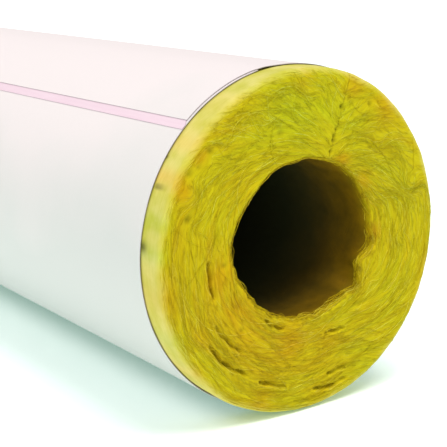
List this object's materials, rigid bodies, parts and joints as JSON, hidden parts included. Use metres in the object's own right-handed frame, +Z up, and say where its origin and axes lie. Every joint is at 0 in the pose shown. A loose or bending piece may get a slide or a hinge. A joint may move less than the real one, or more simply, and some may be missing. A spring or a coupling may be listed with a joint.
{
  "type": "fiberglass pipe insulation",
  "caption": "Hollow cylinder of yellow glass wool with a lengthwise slit, wrapped in a white paper jacket with a closed lap, to sleeve and insulate a pipe.",
  "frame": {"origin": "on the axis of the bore, halfway along the sleeve", "axes": "+X along the bore towards one cut end, +Z up with the sleeve lying on its side and its jacket's lap on the upper -Y side"},
  "size_m": [0.9144, 0.1942, 0.1942],
  "materials": {
    "glass_wool": "matt yellow glass fibre bonded with resin, fibres lying round the axis",
    "jacket_paper": "smooth white laminated paper facing, low sheen",
    "release_film": "pale pink release film, soft sheen"
  },
  "bodies": {
    "root": {"glass_wool_sleeve": "glass_wool", "paper_jacket": "jacket_paper", "lap_release_strip": "release_film"}
  },
  "joints": []
}
